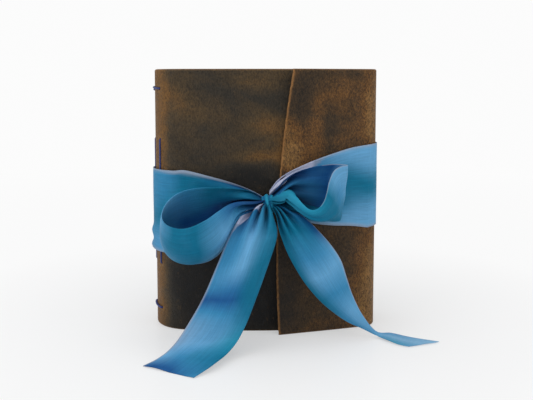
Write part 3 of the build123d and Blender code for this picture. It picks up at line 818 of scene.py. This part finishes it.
RIGHT_TAIL = [
    ((-0.007, -0.062, 0.994), (0.063, -0.062, 0.990), 0.000),
    ((0.085, -0.123, 0.927), (0.241, -0.103, 0.951), 0.031),
    ((0.131, -0.165, 0.808), (0.402, -0.123, 0.913), 0.062),
    ((0.205, -0.185, 0.678), (0.584, -0.165, 0.808), 0.082),
    ((0.292, -0.185, 0.567), (0.737, -0.185, 0.697), 0.093),
    ((0.437, -0.185, 0.420), (0.840, -0.185, 0.593), 0.093),
    ((0.643, -0.165, 0.269), (0.908, -0.185, 0.464), 0.082),
    ((0.901, -0.144, 0.141), (0.980, -0.185, 0.333), 0.051),
    ((1.106, -0.134, 0.079), (1.098, -0.185, 0.188), 0.021),
    ((1.266, -0.129, 0.026), (1.267, -0.114, 0.055), 0.000),
    ((1.382, -0.240, 0.016), (1.457, 0.001, 0.016), 0.000),
    ((1.479, -0.345, 0.010), (1.619, -0.081, 0.010), 0.000),
    ((1.579, -0.407, 0.010), (1.766, -0.166, 0.010), 0.000),
    ((1.604, -0.404, 0.010), (1.963, -0.269, 0.010), 0.000),
]


def loop_cuts(table):
    """A loop's cuts in millimetres, from its table."""
    cuts = []
    for upper, lower, bow in table:
        ends = [KNOT + np.array(place) * RIBBON_WIDTH for place in (upper, lower)]
        cuts.append((*ends, -bow * RIBBON_WIDTH))
    return cuts


def tail_cuts(table):
    """A tail's cuts in millimetres, from its table."""
    cuts = []
    for upper, lower, bow in table:
        ends = []
        for x, y, height_share in (upper, lower):
            ends.append((KNOT[0] + x * RIBBON_WIDTH, KNOT[1] + y * RIBBON_WIDTH, KNOT[2] * height_share))
        cuts.append((*ends, bow * RIBBON_WIDTH))
    return cuts


# The band in front, from the knot to the spine: x, y, upper selvedge and lower selvedge
BAND_TO_SPINE = [
    (-0.5, -26.5, 79.5, 74.5),
    (-9.5, -26.2, 83.9, 69.5),
    (-21.0, -25.0, 88.2, 63.0),
    (-34.0, -23.8, 91.8, 55.6),
    (-46.0, -22.3, 94.5, 48.1),
]
# Then over the flap, with its distance from the flap in place of y, and on to the knot
BAND_OVER_FLAP = [
    (50.0, 0.6, 107.2, 61.5),
    (38.0, 1.0, 103.8, 62.5),
    (26.0, 1.6, 99.6, 64.5),
]
BAND_TO_KNOT = [
    (14.0, -26.8, 94.0, 69.0),
    (7.0, -26.8, 89.0, 72.0),
    (2.5, -26.5, 83.0, 74.0),
]
# How far it lies off the leather, and where and how often its cuts are taken from the cover's plan
BAND_LIFT = 0.6
BAND_SPINE_LIFT = 1.35
SPINE_TURNS = range(70, -81, -10)
BACK_STEP = 4
BACK_FROM_X = SPINE_X + 4
BACK_FROM_Y = 19.0
FORE_EDGE_FROM_X = 55.0


def band_cuts():
    """The band's cuts from the knot round the spine, the back and the fore edge, back to the knot."""
    cuts = []
    half = RIBBON_WIDTH / 2

    def add(x, y, high, low):
        cuts.append(((x, y, high), (x, y, low), 0.0))

    def add_slanted(x, y):
        slant = min(max((x + HALF_WIDTH) / (2 * HALF_WIDTH), 0), 1)
        middle = BAND_SPINE_Z + (BAND_FORE_EDGE_Z - BAND_SPINE_Z) * slant
        add(x, y, middle + half, middle - half)

    for cut in BAND_TO_SPINE:
        add(*cut)
    radius = SPINE_RADIUS + BAND_SPINE_LIFT
    for turn in SPINE_TURNS:
        x = SPINE_X - radius * cos(radians(turn))
        y = -radius * sin(radians(turn))
        if turn > 0:
            add(x, y, BAND_SPINE_Z + half, BAND_SPINE_Z - half)
        else:
            add_slanted(x, y)
    wrap = wrap_points()
    ahead = np.gradient(np.array(wrap), axis=0)
    for number, (x, y) in enumerate(wrap):
        on_back = y > BACK_FROM_Y and x > BACK_FROM_X and number % BACK_STEP == 0
        on_fore_edge = x > FORE_EDGE_FROM_X and number > len(wrap) // 2
        if on_back or on_fore_edge:
            tangent = ahead[number] / np.linalg.norm(ahead[number])
            add_slanted(x - tangent[1] * BAND_LIFT, y + tangent[0] * BAND_LIFT)
    for x, off, high, low in BAND_OVER_FLAP:
        add(x, pressed_flap_y(x) - off, high, low)
    for cut in BAND_TO_KNOT:
        add(*cut)
    return cuts


# The wrap of the knot, in millimetres: each pair is the size at its side edges and what its middle adds
KNOT_SHIFT_X = 0.5
KNOT_SHIFT_Z = -0.8
KNOT_LEAN = 0.3
KNOT_WIDTH = 6.2
KNOT_SPREAD = 1.6
KNOT_DEPTH = (2.4, 3.6)
KNOT_HEIGHT = (2.2, 3.0)
KNOT_FOLDS = 2.4
KNOT_FOLD_DEPTH = 0.5
KNOT_FOLD_HEIGHT = 0.4
KNOT_FOLD_LEAN = 0.8
KNOT_SIDE_POWER = 0.3
KNOT_CLOTH_WIDTH = 20.0
KNOT_CLOTH_TURN = 4.0


def knot_strand():
    """The wrap of the knot, gathered cloth over the front from top to bottom."""
    turns = np.linspace(0, 2 * pi, 61)
    shares = np.linspace(0, 1, 25)
    points = np.zeros((len(turns), len(shares), 3))
    colours = np.zeros(points.shape)
    for i, turn in enumerate(turns):
        rise = sin(turn)
        width = KNOT_WIDTH + KNOT_SPREAD * rise
        for j, share in enumerate(shares):
            bulge = max(1 - (2 * share - 1) ** 2, 0.0) ** KNOT_SIDE_POWER
            fold = cos(2 * pi * KNOT_FOLDS * share + KNOT_FOLD_LEAN * rise)
            depth = KNOT_DEPTH[0] + (KNOT_DEPTH[1] + KNOT_FOLD_DEPTH * fold) * bulge
            height = KNOT_HEIGHT[0] + (KNOT_HEIGHT[1] + KNOT_FOLD_HEIGHT * fold) * bulge
            x = KNOT[0] + KNOT_SHIFT_X - KNOT_LEAN * rise + (share - 0.5) * width
            points[i, j] = (x, KNOT[1] - depth * cos(turn), KNOT[2] + KNOT_SHIFT_Z + height * rise)
            # Painted highlight and shade: the wrap's fold crests are painted aqua and its valleys darker
            # blue
            colours[i, j] = blend(BLUE * 0.6 + TEAL * 0.4, AQUA, 0.5 + 0.5 * fold)
    across_place, along_place = np.meshgrid(shares * KNOT_CLOTH_WIDTH, turns * KNOT_CLOTH_TURN)
    cloth = np.dstack([across_place, along_place, np.zeros(across_place.shape)]) * MM
    return points, colours, cloth


def ribbon_piece():
    store = {"points": [], "faces": [], "dye": [], "cloth": []}
    band = strand(
        band_cuts(),
        [
            (0.00, BLUE, DEEP, DEEP),
            (0.05, BLUE, TEAL, BLUE),
            (0.10, TEAL, TEAL, STEEL),
            # Lighter towards the lower side here as a painted sheen where the band turns away round the
            # spine
            (0.15, TEAL, AQUA, LIGHT),
            (0.22, STEEL, TEAL, STEEL),
            (0.35, TEAL, STEEL, BLUE),
            (0.50, STEEL, TEAL, STEEL),
            (0.65, TEAL, STEEL, TEAL),
            (0.76, LIGHT, TEAL, LIGHT),
            (0.84, LIGHT, TEAL, LIGHT),
            (0.88, LIGHT, STEEL, LIGHT),
            (0.94, STEEL, TEAL, TEAL),
            (1.00, BLUE, DEEP, DEEP),
        ],
        upper_edge=[
            (0, 0.08),
            (0.04, 0.03),
            (0.14, 0.05),
            (0.2, 0.02),
            (0.9, 0.02),
            (0.92, 0.11),
            (0.955, 0.26),
            (0.978, 0.45),
            (1, 0.7),
        ],
        lower_edge=[(0, 0), (0.2, 0.02), (0.78, 0.015), (0.84, 0.03), (0.9, 0.03), (1, 0)],
        seed=1.0,
        along_steps=420,
        across_steps=36,
        pleats=4,
        ripple=(0.0, 0.3),
        bumps=[(79.0, 0.78, 5.0, 0.06, 1.2), (82.0, 0.97, 5.0, 0.06, 1.8)],
    )
    left_loop = strand(
        loop_cuts(LEFT_LOOP),
        [
            # Deep blue and navy dye inside the loop near the knot, darkened further as painted shade
            (0.00, DEEP, DEEP, NAVY),
            (0.12, TEAL, DEEP, DEEP),
            (0.25, TEAL, BLUE, DEEP),
            # The light blue on the lower side at 0.36 and 0.46 is a painted reflection inside the shaded
            # loop
            (0.36, STEEL, BLUE, LIGHT),
            (0.46, LIGHT, STEEL, LIGHT),
            (0.54, TEAL, TEAL, STEEL),
            (0.64, TEAL, TEAL, STEEL),
            (0.76, STEEL, LIGHT, LIGHT),
            (0.86, BLUE, STEEL, STEEL),
            (0.93, BLUE, DEEP, BLUE),
            (1.00, DEEP, DEEP, DEEP),
        ],
        upper_edge=NO_EDGE,
        lower_edge=[(0, 0), (0.5, 0.012), (0.6, 0.02), (0.85, 0.02), (0.95, 0)],
        seed=2.0,
        along_steps=150,
    )
    right_loop = strand(
        loop_cuts(RIGHT_LOOP),
        [
            (0.00, TEAL, TEAL, TEAL),
            (0.12, AQUA, AQUA, TEAL),
            (0.28, AQUA, TEAL, TEAL),
            (0.40, TEAL, TEAL, TEAL),
            (0.48, LIGHT, STEEL, TEAL),
            (0.56, LIGHT, LIGHT, TEAL),
            # Blue, deep blue and navy dye inside the loop, darkened further as painted shade
            (0.64, BLUE, BLUE, BLUE),
            (0.74, BLUE, ROYAL, NAVY),
            (0.84, DEEP, ROYAL, NAVY),
            (0.93, DEEP, BLUE, NAVY),
            (1.00, DEEP, NAVY, NAVY),
        ],
        upper_edge=[(0, 0), (0.35, 0), (0.45, 0.01), (0.6, 0.012), (0.7, 0), (1, 0)],
        lower_edge=NO_EDGE,
        seed=3.0,
        along_steps=150,
        pleats=2,
    )
    left_tail = strand(
        tail_cuts(LEFT_TAIL),
        [
            (0.00, BLUE, DEEP, TEAL),
            (0.10, BLUE, STEEL, TEAL),
            (0.22, STEEL, LIGHT, TEAL),
            (0.34, STEEL, LIGHT, TEAL),
            (0.46, STEEL, ROYAL, TEAL),
            (0.52, BLUE, BLUE, TEAL),
            (0.60, STEEL, STEEL, TEAL),
            (0.76, (PALE + LIGHT) / 2, LIGHT, AQUA),
            (0.87, LIGHT, STEEL, TEAL),
            (1.00, BLUE, BLUE, STEEL),
        ],
        upper_edge=[(0, 0.55), (0.06, 0.42), (0.11, 0.2), (0.15, 0.06), (0.18, 0.025), (1, 0.025)],
        lower_edge=NO_EDGE,
        seed=4.0,
        along_steps=140,
        far_end=False,
    )
    right_tail = strand(
        tail_cuts(RIGHT_TAIL),
        [
            (0.00, TEAL, DEEP, DEEP),
            (0.10, TEAL, TEAL, BLUE),
            (0.18, TEAL, TEAL, BLUE),
            (0.30, TEAL, STEEL, LIGHT),
            (0.40, TEAL, LIGHT, LIGHT),
            (0.50, TEAL, STEEL, STEEL),
            (0.62, STEEL, LIGHT, LIGHT),
            (0.75, STEEL, LIGHT, LIGHT),
            (0.85, AQUA, ICE, LIGHT),
            (1.00, LIGHT, ICE, ICE),
        ],
        upper_edge=NO_EDGE,
        lower_edge=[(0, 0), (0.3, 0.015), (0.5, 0.03), (0.75, 0.03), (1, 0.01)],
        seed=5.0,
        along_steps=160,
        depth=0.85,
        far_end=False,
        ripple=(-0.5, 0.5),
    )
    for made in (band, left_loop, right_loop, left_tail, right_tail, knot_strand()):
        add_strand(store, *made)
    piece = new_mesh("silk_ribbon", np.vstack(store["points"]), store["faces"], [SILK])
    # These colours include painted shade and highlight on the folds, the knot and the loops
    colours = np.vstack(store["dye"])
    paint(piece.data, "dye", np.hstack([colours, np.ones((len(colours), 1))]), "FLOAT_COLOR")
    paint(piece.data, "cloth", np.vstack(store["cloth"]), "FLOAT_VECTOR")
    return piece


cover = cover_piece()
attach(cover, "root")
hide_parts("leather_cover")

ribbon = ribbon_piece()
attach(ribbon, "root")
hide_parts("ribbon")

for node, material in (("page_block", PAPER), ("sewing_thread", THREAD)):
    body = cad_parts[node]
    body.data.materials.clear()
    body.data.materials.append(material)


# Floor, light and camera
SKY_STRENGTH = 0.58
SEEN_WHITE = 0.97
WHITE = (1.0, 1.0, 1.0, 1.0)


def floor_material():
    """A pale floor that the camera sees fade into the white behind it."""
    n = Nodes("pale_floor")
    material = n.finish(linear(246, 247, 248), 0.35, Specular_IOR_Level=0.4)
    away = n.add("ShaderNodeVectorMath", {"Vector": n.place}, operation="LENGTH").outputs["Value"]
    seen = n.add("ShaderNodeLightPath").outputs["Is Camera Ray"]
    fade = n.ramp(n.math("MULTIPLY", away, 0.5), (0.03, 0.42), (0.12, 0.92), (0.40, 1.0))
    share = n.math("MULTIPLY", fade, seen)
    white = n.add("ShaderNodeEmission", {"Color": WHITE, "Strength": SEEN_WHITE})
    mixed = n.add("ShaderNodeMixShader", {"Fac": share})
    n.tree.links.new(n.shader.outputs["BSDF"], mixed.inputs[1])
    n.tree.links.new(white.outputs["Emission"], mixed.inputs[2])
    n.tree.links.new(mixed.outputs["Shader"], n.tree.nodes["Material Output"].inputs["Surface"])
    return material


FLOOR_REACH = 4.0
floor_corners = [(x * FLOOR_REACH, y * FLOOR_REACH, 0) for x, y in ((-1, -1), (1, -1), (1, 1), (-1, 1))]
floor_mesh = bpy.data.meshes.new("floor")
floor_mesh.from_pydata(floor_corners, [], [(0, 1, 2, 3)])
floor_mesh.materials.append(floor_material())
floor = bpy.data.objects.new("floor", floor_mesh)
bpy.context.scene.collection.objects.link(floor)

LIT_PLACE = Vector((0.0, 0.0, 0.07))


def area_light(name, place, size, power):
    """A soft rectangular lamp that looks at the middle of the journal."""
    data = bpy.data.lights.new(name, "AREA")
    data.shape = "RECTANGLE"
    data.size, data.size_y = size
    data.energy = power
    lamp = bpy.data.objects.new(name, data)
    lamp.location = place
    lamp.rotation_euler = (LIT_PLACE - Vector(place)).to_track_quat("-Z", "Y").to_euler()
    bpy.context.scene.collection.objects.link(lamp)


area_light("overhead", (-0.1, -0.25, 1.1), (1.4, 1.2), 4.6)
area_light("left_window", (-1.0, -0.6, 0.6), (0.9, 1.0), 3.8)
area_light("right_fill", (1.1, -0.6, 0.5), (0.8, 0.9), 2.2)

world = bpy.data.worlds.new("studio")
world.use_nodes = True
sky = world.node_tree.nodes["Background"]
seen_sky = world.node_tree.nodes.new("ShaderNodeBackground")
for background, strength in ((sky, SKY_STRENGTH), (seen_sky, SEEN_WHITE)):
    background.inputs["Strength"].default_value = strength
    background.inputs["Color"].default_value = WHITE
sight = world.node_tree.nodes.new("ShaderNodeLightPath")
both_skies = world.node_tree.nodes.new("ShaderNodeMixShader")
world_output = world.node_tree.nodes["World Output"]
for source, socket in (
    (sight.outputs["Is Camera Ray"], both_skies.inputs[0]),
    (sky.outputs["Background"], both_skies.inputs[1]),
    (seen_sky.outputs["Background"], both_skies.inputs[2]),
    (both_skies.outputs["Shader"], world_output.inputs["Surface"]),
):
    world.node_tree.links.new(source, socket)
bpy.context.scene.world = world
bpy.context.scene.view_settings.view_transform = "Standard"

# The camera, fitted to the edges of the journal in the photograph
PITCH = radians(5.2)
lens = bpy.data.cameras.new("photo_camera")
lens.sensor_width = 36.0
lens.lens = 50.53
lens.shift_x = 0.0106
lens.shift_y = -0.0949
lens.clip_start = 0.01
camera = bpy.data.objects.new("photo_camera", lens)
camera.location = (-0.0024, -0.4485, 0.1453)
camera.rotation_euler = (pi / 2 - PITCH, 0.0, 0.0)
bpy.context.scene.collection.objects.link(camera)
bpy.context.scene.camera = camera
